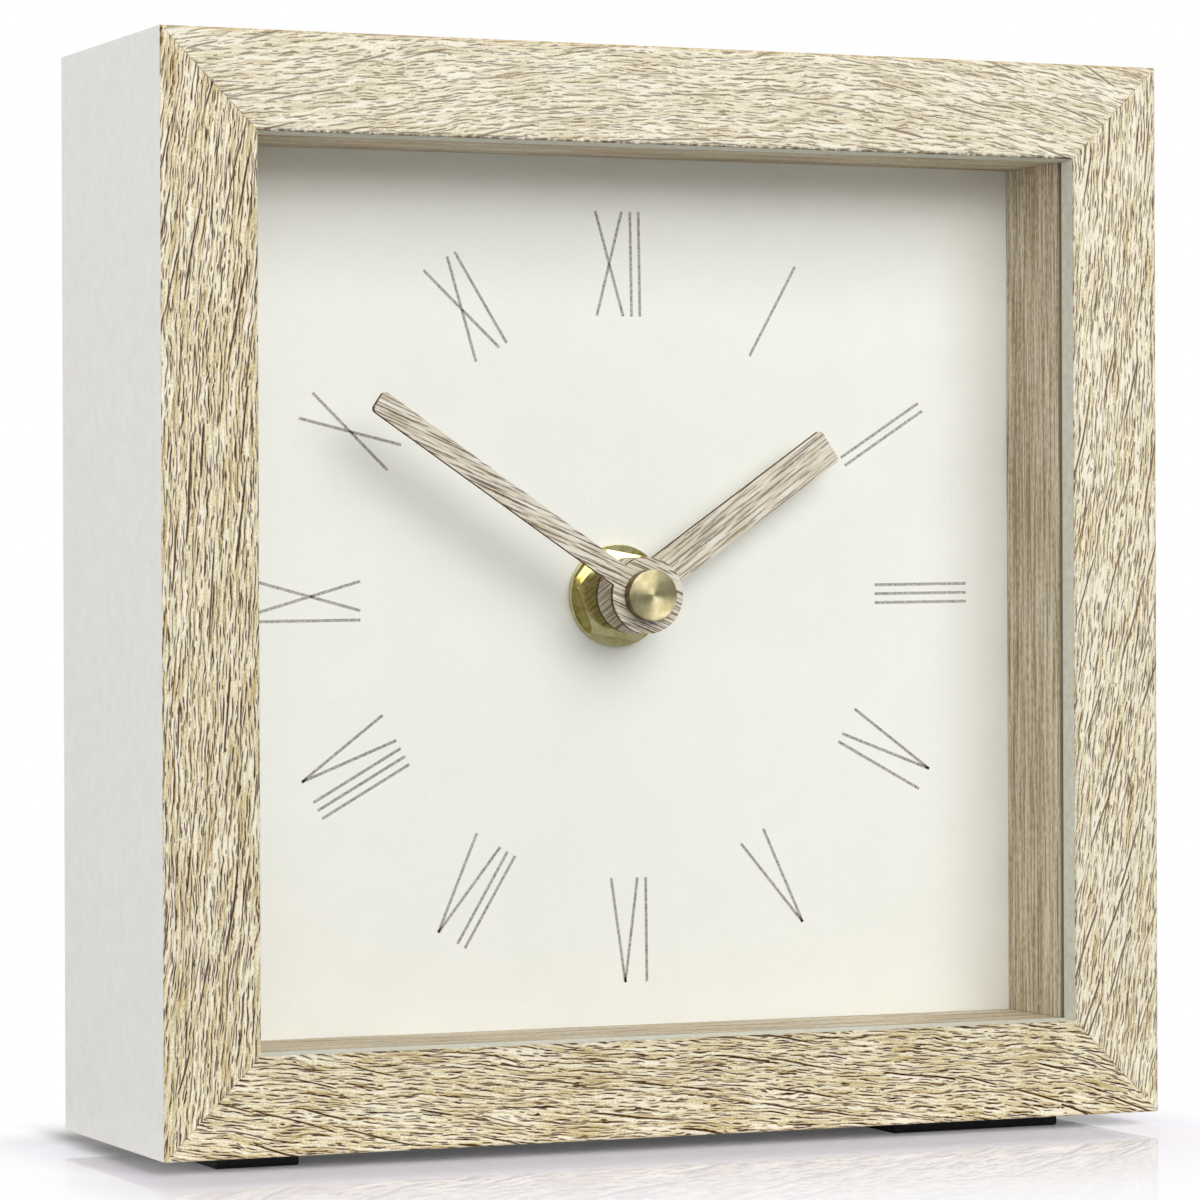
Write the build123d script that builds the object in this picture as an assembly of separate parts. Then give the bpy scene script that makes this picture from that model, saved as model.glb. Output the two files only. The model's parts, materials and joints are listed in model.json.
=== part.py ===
from build123d import *
import math
import os

# Square wooden desk clock: a mitred box case, a recessed dial, two wood hands and a battery movement.
# Millimetres. +Z is up and the dial faces -Y. The origin is on the surface the clock stands on,
# below the middle of the case. Outlines are drawn as seen from the front, with X to the right.

# Case rails
case_width = 150.0
case_height = 150.0
rail_face = 13.5
rail_wall = 8.0
lip_thick = 3.0
lip_slope = 0.3
rail_round = 0.4

# Slips, dial and what holds them
slip_thick = 5.7
dial_depth = 20.0
paper_thick = 0.25
board_thick = 3.0
board_gap = 0.3
point_width = 8.0
point_bite = 4.0
point_reach = 7.0
point_thick = 0.5
point_spacing = 70.0
wedge_leg = 3.0
wedge_thick = 0.6
wedge_deep = 8.0

# Pads under the case
foot_thick = 2.0
foot_deep = 12.0
left_foot_wide = 12.0
right_foot_wide = 26.4
left_foot_inset = 9.2
right_foot_inset = 13.0
foot_edge_inset = 6.5

# Hands, bush and nuts
shaft_shift = -1.2
shaft_drop = 0.5
hand_thick = 0.9
hub_radius = 5.35
minute_reach = 48.1
minute_width = 3.2
hour_reach = 37.5
hour_width = 5.2
tip_round = 0.7
minute_angle = 303.75
whole_hour = 1
hour_hand_rise = 5.3
minute_hand_rise = 10.5
pipe_stand = 0.2
cap_radius = 3.6
cap_thick = 2.0
cap_wall = 0.4
cap_bevel = 0.15
bush_rise = 2.6
bush_room = 0.3
thread_fit = 0.05
nut_flange_radius = 7.2
nut_flange_thick = 1.0
nut_across = 12.0
nut_hex_thick = 2.0
nut_slope = 2.6
nut_drop = 0.35
nut_turn = -10.0
gasket_thick = 1.0
gasket_radius = 9.0

# Shafts and their fits
running_fit = 0.05
cannon_rim = 0.19
pipe_wall = 0.7
bush_wall = 1.45
thread_radius = 1.4
knob_shaft_radius = 1.1
arbor_radius = 0.5
pivot_radius = 0.35
pivot_long = 1.0
end_play = 0.1

# Gear teeth, in modules and in shares of the tooth pitch
addendum = 0.85
dedendum = 1.15
tip_share = 0.08
root_share = 0.22

# Tooth counts: two steps from rotor to seconds, two to minutes, two to hours
rotor_leaves = 8
intermediate_teeth = 40
intermediate_leaves = 10
seconds_teeth = 60
seconds_leaves = 8
third_teeth = 60
third_leaves = 8
centre_teeth = 64
cannon_leaves = 12
minute_teeth = 36
minute_leaves = 10
hour_teeth = 40

# Where the arbors stand: gear module, room between wheels and shafts, directions from the right
train_module = 0.25
motion_angle = 40.0
rotor_angle = 60.0
knob_shaft_room = 0.75
arbor_room = 2.0
stator_room = 1.0

# Layers of wheels from front to back
wheel_thick = 0.9
layer_gap = 0.35
leaf_overhang = 0.1
plate_thick = 1.0
plate_gap = 0.3

# Movement housing
move_wall = 1.2
move_round = 3.0
front_wall = 1.5
rear_wall = 1.5
split_room = 1.65
train_room = 2.5
boss_radius = 1.6
post_radius = 1.5
post_inset = 2.5

# Battery and its bay
battery_radius = 7.1
battery_long = 50.2
nub_radius = 2.7
nub_long = 1.0
battery_gap = 0.3
battery_sink = 0.3
bay_floor = 1.0
minus_room = 2.4
plus_room = 1.0

# Battery contacts
contact_thick = 0.4
contact_half = 5.0
contact_gap = 0.1
strip_wide = 1.4
leaf_wide = 3.0
leaf_crown = 0.6
dimple_radius = 1.6

# Coil, stator, rotor and circuit
magnet_radius = 2.8
magnet_thick = 2.4
air_gap = 0.4
stator_neck = 0.8
stator_thick = 0.8
stator_stand = 1.6
stand_radius = 1.2
core_half = 1.5
core_reach = 2.5
leg_wide = 4.0
coil_long = 20.0
coil_shift = -2.2
winding_half = 3.0
winding_half_deep = 2.4
flange_thick = 0.8
flange_lip = 0.2
bobbin_wall = 0.6
coil_gap = 0.8
wire_room = 0.8
board_wide = 8.0
board_below = 8.0
board_above = 20.0
board_sheet = 0.8
chip_radius = 3.0
chip_thick = 0.8
crystal_radius = 1.0
crystal_long = 6.0

# Setting knob
knob_radius = 6.0
knob_thick = 2.5
knob_gap = 0.4
knob_flutes = 24
flute_radius = 0.5
back_room = 1.05

# Depths through the clock, from the front of the case to its back
move_deep = bay_floor + battery_gap + 2 * battery_radius + battery_sink
stack_deep = paper_thick + board_thick + gasket_thick + move_deep + knob_gap + knob_thick
case_depth = dial_depth + stack_deep + back_room
front = -case_depth / 2
back = case_depth / 2
lip_back = front + lip_thick
dial_face = front + dial_depth
paper_back = dial_face + paper_thick
board_back = paper_back + board_thick
move_front = board_back + gasket_thick
move_inner = move_front + front_wall
move_back = move_front + move_deep
cover_inner = move_back - rear_wall
hour_hand_back = dial_face - hour_hand_rise
minute_hand_back = dial_face - minute_hand_rise
minute_hand_front = minute_hand_back - hand_thick
cap_front = minute_hand_front - cap_thick

# Heights and sides of the case
case_bottom = foot_thick
case_top = case_bottom + case_height
case_middle = case_bottom + case_height / 2
slip_face = rail_wall + slip_thick
lip_edge = rail_face + lip_slope
shaft_height = case_middle - shaft_drop
hour_angle = (whole_hour + minute_angle / 360) * 30

# Layers of wheels: each starts a gap behind the one before
layer_step = wheel_thick + layer_gap
hour_layer = move_inner + layer_gap
minute_layer = hour_layer + layer_step
plate_front = minute_layer + layer_step
plate_back = plate_front + plate_thick
centre_layer = plate_back + layer_gap
third_layer = centre_layer + layer_step
seconds_layer = third_layer + layer_step
intermediate_layer = seconds_layer + layer_step
boss_front = intermediate_layer + layer_step
split = plate_back + split_room
minute_arbor_back = centre_layer + wheel_thick


def polar(centre, distance, angle):
    """Point at a distance and direction from a centre."""
    turn = math.radians(angle)
    return centre[0] + distance * math.cos(turn), centre[1] + distance * math.sin(turn)


def arbor_distance(module, teeth, mate_teeth):
    """Distance between the arbors of a pair of gears."""
    return module * (teeth + mate_teeth) / 2


def pair_module(distance, teeth, mate_teeth):
    """Module of a pair of gears from the distance between their arbors."""
    return 2 * distance / (teeth + mate_teeth)


def tip_radius(module, teeth):
    """Outer radius of a gear."""
    return module * (teeth / 2 + addendum)


def spread(near, far, apart):
    """Angle between two arbors round the shaft that leaves them a given distance apart."""
    return math.degrees(math.acos((near**2 + far**2 - apart**2) / (2 * near * far)))


# Gear pairs: the going train shares one module, and the knob shaft passes outside the centre wheel
third_distance = arbor_distance(train_module, seconds_leaves, third_teeth)
intermediate_distance = arbor_distance(train_module, intermediate_leaves, seconds_teeth)
rotor_distance = arbor_distance(train_module, rotor_leaves, intermediate_teeth)
centre_module = pair_module(third_distance, third_leaves, centre_teeth)
motion_distance = tip_radius(centre_module, centre_teeth) + knob_shaft_room + knob_shaft_radius
minute_module = pair_module(motion_distance, cannon_leaves, minute_teeth)
hour_module = pair_module(motion_distance, minute_leaves, hour_teeth)
minute_radius = minute_module * (cannon_leaves / 2 - dedendum) - cannon_rim
pipe_radius = minute_radius + running_fit + pipe_wall
bush_radius = pipe_radius + running_fit + bush_wall

# Arbor places, measured from the shaft of the hands
shaft = (0.0, 0.0)
minute_place = polar(shaft, motion_distance, motion_angle)
knob_shaft_clear = tip_radius(train_module, intermediate_teeth) + arbor_room + knob_shaft_radius
intermediate_angle = motion_angle + spread(motion_distance, intermediate_distance, knob_shaft_clear)
intermediate_place = polar(shaft, intermediate_distance, intermediate_angle)
rotor_place = polar(intermediate_place, rotor_distance, rotor_angle)
stator_half = magnet_radius + air_gap + stator_neck
stator_bottom = rotor_place[1] - stator_half
stator_top = rotor_place[1] + stator_half
third_height = stator_bottom - stator_room - tip_radius(train_module, third_teeth)
third_angle = 180 - math.degrees(math.asin(third_height / third_distance))
third_place = polar(shaft, third_distance, third_angle)

# Inside of the movement housing, measured from the shaft of the hands
hour_tip = tip_radius(hour_module, hour_teeth)
inner_half = (battery_long + minus_room + plus_room) / 2
train_floor = -(hour_tip + train_room)
bay_top = train_floor - move_wall
bay_bottom = bay_top - 2 * (battery_radius + battery_gap)
bay_middle = (bay_top + bay_bottom) / 2
coil_height = stator_top + coil_gap + winding_half + flange_lip
train_top = coil_height + winding_half + flange_lip + wire_room
outer_half = inner_half + move_wall
outer_top = train_top + move_wall
outer_bottom = bay_bottom - move_wall
battery_depth = move_front + bay_floor + battery_gap + battery_radius


def slab(outline, y_front, y_back):
    """Solid of an outline between two depths."""
    return extrude(Plane.XZ.offset(-y_back) * outline, amount=y_back - y_front, dir=(0, -1, 0))


def at_shaft(place, outline):
    """Outline set at a place measured from the shaft of the hands."""
    return Pos(shaft_shift + place[0], shaft_height + place[1]) * outline


def rod(place, radius, y_front, y_back):
    """Round rod along the depth of the clock."""
    return slab(at_shaft(place, Circle(radius)), y_front, y_back)


def ring(place, radius, bore, y_front, y_back):
    """Round ring along the depth of the clock."""
    return slab(at_shaft(place, Circle(radius) - Circle(bore)), y_front, y_back)


def block(left, right, bottom, top, y_front, y_back):
    """Upright block between two sides, two heights and two depths."""
    outline = Rectangle(right - left, top - bottom)
    return slab(at_shaft(((left + right) / 2, (bottom + top) / 2), outline), y_front, y_back)


def group(solids):
    """Like pieces that share one name."""
    return Compound(children=list(solids))


nodes = {}

# Rails: an L-shaped moulding with a front lip, mitred at both ends
sides = {
    "bottom": (case_width, Pos(0, 0, case_bottom)),
    "top": (case_width, Pos(0, 0, case_top) * Rot(0, 180, 0)),
    "left": (case_height, Pos(-case_width / 2, 0, case_middle) * Rot(0, 90, 0)),
    "right": (case_height, Pos(case_width / 2, 0, case_middle) * Rot(0, -90, 0)),
}


def mitred(length, near, far):
    """Strip along one side of the case, between two distances in from its edge."""
    half = length / 2
    return Polygon(
        (near - half, near), (half - near, near), (half - far, far), (far - half, far), align=None
    )


def rail(length):
    """Box rail along +X with its outer face on the ground and its lip pointing up."""
    section = Polygon(
        (front, 0),
        (front, rail_face),
        (lip_back, lip_edge),
        (lip_back, rail_wall),
        (back, rail_wall),
        (back, 0),
        align=None,
    )
    outer_edge = section.vertices().sort_by_distance((front, 0, 0))[0]
    section = fillet(outer_edge, rail_round)
    bar = extrude(Plane.YZ * section, amount=length / 2, both=True)
    return bar & slab(mitred(length, 0, lip_edge), front, back)


# Steel wedges driven into the back of each mitre, with one leg in each rail
def corner_wedge(right, up):
    """Bent wedge across one mitre."""
    middle = rail_wall / 2
    near = middle - wedge_thick / 2
    far = middle + wedge_thick / 2
    end = middle + wedge_leg
    corner = [(near, near), (end, near), (end, far), (far, far), (far, end), (near, end)]
    points = [(right * (case_width / 2 - x), case_middle + up * (case_height / 2 - z)) for x, z in corner]
    return slab(Polygon(*points, align=None), back - wedge_deep, back)


wedges = [corner_wedge(right, up) for right in (-1, 1) for up in (-1, 1)]
nodes["corner_wedges"] = group(wedges)


# Flat steel points driven into the rails behind the dial board
def board_point(shift):
    """One point on either side of a rail's middle, with its sharp end in the rail."""
    half = point_width / 2
    outline = Polygon(
        (-half, rail_wall + point_reach),
        (-half, rail_wall),
        (0, rail_wall - point_bite),
        (half, rail_wall),
        (half, rail_wall + point_reach),
        align=None,
    )
    return slab(Pos(shift * point_spacing / 2, 0) * outline, board_back, board_back + point_thick)


points = []
for _, place in sides.values():
    for shift in (-1, 1):
        points.append(place * board_point(shift))
nodes["board_points"] = group(points)

for side, (length, place) in sides.items():
    nodes["rail_" + side] = place * rail(length) - wedges - points
    nodes["slip_" + side] = place * slab(mitred(length, rail_wall, slip_face), lip_back, dial_face)

# Dial: printed paper on a fibre board, between the slips and the steel points
dial_wide = case_width - 2 * (rail_wall + board_gap)
dial_tall = case_height - 2 * (rail_wall + board_gap)
bush_hole = bush_radius + bush_room
dial_sheet = Pos(0, case_middle) * Rectangle(dial_wide, dial_tall)
dial_sheet = dial_sheet - at_shaft(shaft, Circle(bush_hole))
nodes["dial_paper"] = slab(dial_sheet, dial_face, paper_back)
nodes["dial_board"] = slab(dial_sheet, paper_back, board_back)

# Pads cut from one strip and stuck under the bottom rail
foot_from_edge = foot_edge_inset + foot_deep / 2
foot_ends = {"front": front + foot_from_edge, "rear": back - foot_from_edge}
foot_sides = {
    "left": (left_foot_wide, left_foot_inset + left_foot_wide / 2 - case_width / 2),
    "right": (right_foot_wide, case_width / 2 - right_foot_inset - right_foot_wide / 2),
}
for end, y in foot_ends.items():
    for side, (wide, x) in foot_sides.items():
        pad = Box(wide, foot_deep, foot_thick, align=(Align.CENTER, Align.CENTER, Align.MIN))
        nodes[f"foot_{end}_{side}"] = Pos(x, y, 0) * pad

# Movement base: front half of the housing, with the threaded bush, posts and pivot holes
housing_middle = (outer_top + outer_bottom) / 2
housing_tall = outer_top - outer_bottom
housing = at_shaft((0, housing_middle), RectangleRounded(2 * outer_half, housing_tall, move_round))
train_wide = (-inner_half, inner_half)
bay_front = move_front + bay_floor
circuit_left = inner_half - plate_gap - board_wide
plate_left = -inner_half + plate_gap
plate_right = circuit_left - plate_gap
plate_bottom = train_floor + contact_thick + plate_gap
plate_top = train_top - plate_gap
post_places = []
for u in (plate_left + post_inset, plate_right - post_inset):
    for v in (plate_bottom + post_inset, plate_top - post_inset):
        post_places.append((u, v))
circuit_middle = circuit_left + board_wide / 2
circuit_posts = [(circuit_middle, -board_below / 2), (circuit_middle, board_above - board_below / 2)]
notch_front = plate_back - strip_wide

base = slab(housing, move_front, split)
base -= block(*train_wide, train_floor, train_top, move_inner, split)
base -= block(*train_wide, bay_bottom, bay_top, bay_front, split)
for place in post_places:
    base += rod(place, post_radius, move_inner, plate_front)
for place in circuit_posts:
    base += rod(place, post_radius, move_inner, plate_back)
base += rod(shaft, bush_radius, dial_face - bush_rise, move_front)
base -= rod(shaft, pipe_radius + running_fit, dial_face - bush_rise, move_inner)
base -= rod(minute_place, pivot_radius + running_fit, move_inner - pivot_long, move_inner)
notch_wide = contact_thick + contact_gap
for left, right in ((-inner_half, notch_wide - inner_half), (inner_half - notch_wide, inner_half)):
    base -= block(left, right, bay_top, train_floor, notch_front - contact_gap, split)
nodes["movement_base"] = base

# Movement cover: rear half of the housing, open over the battery bay, with bosses for the pivots
cover = slab(housing, split, move_back)
cover -= block(*train_wide, train_floor, train_top, split, cover_inner)
cover -= block(*train_wide, bay_bottom, bay_top, split, move_back)
for place in (shaft, third_place, intermediate_place, rotor_place):
    cover += rod(place, boss_radius, boss_front, cover_inner)
    cover -= rod(place, pivot_radius + running_fit, boss_front, boss_front + pivot_long)
cover -= rod(minute_place, knob_shaft_radius + running_fit, cover_inner, move_back)
nodes["movement_cover"] = cover

# Rubber gasket and brass flanged nut, which clamp the board between them
nodes["gasket"] = ring(shaft, gasket_radius, bush_hole, board_back, move_front)
nut_face = dial_face - nut_flange_thick - nut_hex_thick
hexagon = Rot(0, 0, nut_turn) * RegularPolygon(nut_across / 2, 6, major_radius=False)
nut_body = slab(at_shaft(shaft, hexagon), nut_face, dial_face - nut_flange_thick)
nut_corner = nut_across / math.sqrt(3)
nut_blank = rod(shaft, nut_corner, nut_face, dial_face - nut_flange_thick)
nut_front = nut_blank.faces().sort_by(Axis.Y)[0]
nut = nut_body & chamfer(nut_front.edges(), nut_slope, nut_drop, reference=nut_front)
nut += rod(shaft, nut_flange_radius, dial_face - nut_flange_thick, dial_face)
nodes["flange_nut"] = nut - rod(shaft, bush_radius + thread_fit, nut_face, dial_face)

# Middle plate: carries the front pivots of the going train and the rear of the minute arbor
plate = block(plate_left, plate_right, plate_bottom, plate_top, plate_front, plate_back)
plate -= rod(shaft, minute_radius + running_fit, plate_front, plate_back)
plate -= rod(minute_place, knob_shaft_radius + layer_gap, plate_front, plate_back)
for place in (third_place, intermediate_place, rotor_place):
    plate -= rod(place, pivot_radius + running_fit, plate_front, plate_back)

# Stator and coil: a lamination round the rotor, two legs, and a wound core across their ends
stator_front = plate_back + stator_stand
stator_back = stator_front + stator_thick
core_back = stator_back + stator_thick
coil_left = coil_shift - coil_long / 2
coil_right = coil_shift + coil_long / 2
core_left = coil_left - core_reach - leg_wide / 2
core_right = coil_right + core_reach + leg_wide / 2
core_top = coil_height + core_half
stator = block(core_left, core_right, stator_bottom, stator_top, stator_front, stator_back)
for left, right in ((core_left, core_left + leg_wide), (core_right - leg_wide, core_right)):
    stator += block(left, right, stator_bottom, core_top, stator_front, stator_back)
    stand_place = ((left + right) / 2, rotor_place[1])
    plate += rod(stand_place, stand_radius, plate_back, stator_front)
nodes["middle_plate"] = plate
stator -= rod(rotor_place, magnet_radius + air_gap, stator_front, stator_back)
leaf_relief = tip_radius(train_module, intermediate_leaves) + layer_gap
nodes["stator"] = stator - rod(intermediate_place, leaf_relief, stator_front, stator_back)
core_bottom = coil_height - core_half
nodes["coil_core"] = block(core_left, core_right, core_bottom, core_top, stator_back, core_back)


def coil_block(left, right, half_tall, half_deep):
    """Block about the axis of the coil."""
    middle = stator_back + stator_thick / 2
    low = coil_height - half_tall
    high = coil_height + half_tall
    return block(left, right, low, high, middle - half_deep, middle + half_deep)


sleeve_half = core_half + bobbin_wall
sleeve_half_deep = stator_thick / 2 + bobbin_wall
flange_half = winding_half + flange_lip
bobbin = coil_block(coil_left, coil_right, sleeve_half, sleeve_half_deep)
for left, right in ((coil_left, coil_left + flange_thick), (coil_right - flange_thick, coil_right)):
    bobbin += coil_block(left, right, flange_half, winding_half_deep + flange_lip)
nodes["coil_bobbin"] = bobbin - coil_block(coil_left, coil_right, core_half, stator_thick / 2)
winding_ends = (coil_left + flange_thick, coil_right - flange_thick)
winding = coil_block(*winding_ends, winding_half, winding_half_deep)
nodes["coil_winding"] = winding - coil_block(*winding_ends, sleeve_half, sleeve_half_deep)

# Circuit board with its chip and quartz crystal
circuit_back = plate_back + board_sheet
circuit_right = circuit_left + board_wide
circuit_top = board_above
nodes["circuit_board"] = block(
    circuit_left, circuit_right, -board_below, circuit_top, plate_back, circuit_back
)
nodes["chip_cap"] = rod((circuit_middle, 0), chip_radius, circuit_back, circuit_back + chip_thick)
crystal_can = Cylinder(crystal_radius, crystal_long)
crystal_height = shaft_height + circuit_top - board_below / 2
crystal_place = Pos(shaft_shift + circuit_middle, circuit_back + crystal_radius, crystal_height)
nodes["crystal"] = crystal_place * crystal_can

# Battery contacts: a plate at each end of the bay, with a tab through the wall to the circuit board
contact_front = battery_depth - contact_half
contact_back = battery_depth + contact_half
tab_top = -board_below + contact_half / 2
plus_left = inner_half - contact_thick
plus = block(plus_left, inner_half, bay_middle - contact_half, bay_top, contact_front, contact_back)
plus += block(plus_left, inner_half, bay_top, tab_top, notch_front, plate_back)
dimple_tall = plus_room - contact_thick - contact_gap
dimple = Cylinder(dimple_radius, dimple_tall, align=(Align.CENTER, Align.CENTER, Align.MAX))
dimple_place = Pos(shaft_shift + plus_left, battery_depth, shaft_height + bay_middle)
nodes["contact_plus"] = plus + dimple_place * Rot(0, 90, 0) * dimple

minus_right = contact_thick - inner_half
strip_top = train_floor + contact_thick
minus = block(-inner_half, minus_right, bay_middle - contact_half, bay_top, contact_front, contact_back)
minus += block(-inner_half, minus_right, bay_top, strip_top, notch_front, plate_back)
minus += block(-inner_half, circuit_middle, train_floor, strip_top, notch_front, plate_back)
riser_left = circuit_middle - strip_wide
riser_front = plate_back - contact_thick
minus += block(riser_left, circuit_middle, train_floor, tab_top, riser_front, plate_back)
crown = minus_room - contact_gap - inner_half
leaf_top = bay_middle + contact_half
leaf_bottom = bay_middle - contact_half
spring_leaf = Polygon(
    (-inner_half, leaf_top),
    (minus_right, leaf_top),
    (crown, bay_middle + leaf_crown),
    (crown, bay_middle - leaf_crown),
    (minus_right, leaf_bottom),
    (-inner_half, leaf_bottom),
    (crown - contact_thick, bay_middle - leaf_crown),
    (crown - contact_thick, bay_middle + leaf_crown),
    align=None,
)
leaf_back = battery_depth + leaf_wide / 2
minus += slab(at_shaft(shaft, spring_leaf), battery_depth - leaf_wide / 2, leaf_back)
nodes["contact_minus"] = minus

# Battery: one cell lying across the bottom of the movement, plus end to the right
cell_left = Pos(shaft_shift - inner_half + minus_room, battery_depth, shaft_height + bay_middle)
can = Cylinder(battery_radius, battery_long - nub_long, align=(Align.CENTER, Align.CENTER, Align.MIN))
nub = Cylinder(nub_radius, battery_long, align=(Align.CENTER, Align.CENTER, Align.MIN))
nodes["battery"] = cell_left * Rot(0, 90, 0) * (can + nub)


def gear(place, teeth, module, y_front, y_back, phase=0.0):
    """Toothed disc with the middle of one tooth at the phase angle."""
    pitch = 360 / teeth
    tip = tip_radius(module, teeth)
    root = module * (teeth / 2 - dedendum)
    tooth = ((-root_share, root), (-tip_share, tip), (tip_share, tip), (root_share, root))
    points = []
    for count in range(teeth):
        for share, radius in tooth:
            points.append(polar(shaft, radius, phase + (count + share) * pitch))
    return slab(at_shaft(place, Polygon(*points, align=None)), y_front, y_back)


def wheel(place, teeth, module, layer, leaves, direction):
    """Wheel in a layer, turned so that it meshes with leaves that start at angle zero."""
    leaf_phase = (direction + 180) / (360 / leaves)
    phase = direction - (0.5 - leaf_phase) * 360 / teeth
    return gear(place, teeth, module, layer, layer + wheel_thick, phase)


def pinion(place, leaves, module, layer):
    """Pinion that overhangs the layer of its wheel at both ends."""
    return gear(place, leaves, module, layer - leaf_overhang, layer + wheel_thick + leaf_overhang)


def arbor(place, y_front, y_back):
    """Arbor between two bearings, with a thin pivot at each end."""
    body = rod(place, arbor_radius, y_front + end_play, y_back - end_play)
    pivot_reach = pivot_long - end_play
    return body + rod(place, pivot_radius, y_front - pivot_reach, y_back + pivot_reach)


# Going train: rotor, intermediate, seconds, third and centre wheels
rotor = arbor(rotor_place, plate_back, boss_front)
nodes["rotor_arbor"] = rotor + pinion(rotor_place, rotor_leaves, train_module, intermediate_layer)
magnet_middle = stator_front + stator_thick / 2
magnet_front = magnet_middle - magnet_thick / 2
nodes["rotor_magnet"] = ring(
    rotor_place, magnet_radius, arbor_radius, magnet_front, magnet_front + magnet_thick
)

intermediate = arbor(intermediate_place, plate_back, boss_front)
intermediate += pinion(intermediate_place, intermediate_leaves, train_module, seconds_layer)
nodes["intermediate_wheel"] = intermediate + wheel(
    intermediate_place, intermediate_teeth, train_module, intermediate_layer, rotor_leaves, rotor_angle
)

seconds = arbor(shaft, minute_arbor_back, boss_front)
seconds += pinion(shaft, seconds_leaves, train_module, third_layer)
nodes["seconds_wheel"] = seconds + wheel(
    shaft, seconds_teeth, train_module, seconds_layer, intermediate_leaves, intermediate_angle
)

third = arbor(third_place, plate_back, boss_front)
third += pinion(third_place, third_leaves, centre_module, centre_layer)
nodes["third_wheel"] = third + wheel(
    third_place, third_teeth, train_module, third_layer, seconds_leaves, third_angle + 180
)

centre_bore = rod(shaft, minute_radius + running_fit, centre_layer, minute_arbor_back)
nodes["centre_wheel"] = (
    wheel(shaft, centre_teeth, centre_module, centre_layer, third_leaves, third_angle) - centre_bore
)

# Motion work: minute arbor with cannon pinion, minute wheel on the knob shaft, hour wheel with pipe
minute_arbor = rod(shaft, minute_radius, minute_hand_back, minute_arbor_back)
minute_arbor += rod(shaft, thread_radius, cap_front + cap_wall, minute_hand_back)
minute_arbor += pinion(shaft, cannon_leaves, minute_module, minute_layer)
pivot_hole = rod(shaft, pivot_radius + running_fit, minute_arbor_back - pivot_long, minute_arbor_back)
nodes["minute_arbor"] = minute_arbor - pivot_hole

knob_front = move_back + knob_gap
knob_back = knob_front + knob_thick
knob_shaft = rod(minute_place, knob_shaft_radius, move_inner + end_play, knob_front)
knob_shaft += rod(minute_place, pivot_radius, move_inner + end_play - pivot_long, knob_front)
knob_shaft += pinion(minute_place, minute_leaves, hour_module, hour_layer)
nodes["minute_wheel"] = knob_shaft + wheel(
    minute_place, minute_teeth, minute_module, minute_layer, cannon_leaves, motion_angle + 180
)

knob_outline = at_shaft(minute_place, Circle(knob_radius))
for count in range(knob_flutes):
    flute = polar(minute_place, knob_radius, 360 / knob_flutes * count)
    knob_outline -= at_shaft(flute, Circle(flute_radius))
nodes["setting_knob"] = slab(knob_outline, knob_front, knob_back)

pipe_front = hour_hand_back - hand_thick - pipe_stand
hour = wheel(shaft, hour_teeth, hour_module, hour_layer, minute_leaves, motion_angle)
hour += rod(shaft, pipe_radius, pipe_front, hour_layer)
nodes["hour_wheel"] = hour - rod(shaft, minute_radius + running_fit, pipe_front, hour_layer + wheel_thick)


# Hands: flat bars of wood with a round hub, and the brass cap that holds the minute hand
def hand(angle, reach, width, bore, y_back):
    """Hand that points clockwise from twelve by an angle."""
    bar = Pos(0, reach / 2) * Rectangle(width, reach)
    bar = fillet(bar.vertices().group_by(Axis.Y)[-1], tip_round)
    outline = bar + Circle(hub_radius) - Circle(bore)
    return slab(at_shaft(shaft, Rot(0, 0, -angle) * outline), y_back - hand_thick, y_back)


nodes["hour_hand"] = hand(hour_angle, hour_reach, hour_width, pipe_radius, hour_hand_back)
nodes["minute_hand"] = hand(minute_angle, minute_reach, minute_width, thread_radius, minute_hand_back)
cap = rod(shaft, cap_radius, cap_front, minute_hand_front)
cap = chamfer(cap.edges().group_by(Axis.Y)[0], cap_bevel)
nodes["cap_nut"] = cap - rod(shaft, thread_radius, cap_front + cap_wall, minute_hand_front)

os.makedirs("parts", exist_ok=True)
for name, shape in nodes.items():
    export_step(shape, f"parts/{name}.step")

for name, place in (
    ("shaft", shaft),
    ("knob shaft", minute_place),
    ("intermediate", intermediate_place),
    ("rotor", rotor_place),
    ("third", third_place),
):
    print(f"{name} x {shaft_shift + place[0]:.5f} z {shaft_height + place[1]:.5f}")
print(f"case {case_width:g} x {case_depth:.2f} x {case_height:g}")
print(f"radii: minute arbor {minute_radius:.4f}, hour pipe {pipe_radius:.4f}, bush {bush_radius:.4f}")
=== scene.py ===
import json
from math import atan2, cos, pi, radians, sin, tan

import bpy
from mathutils import Matrix, Vector

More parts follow.
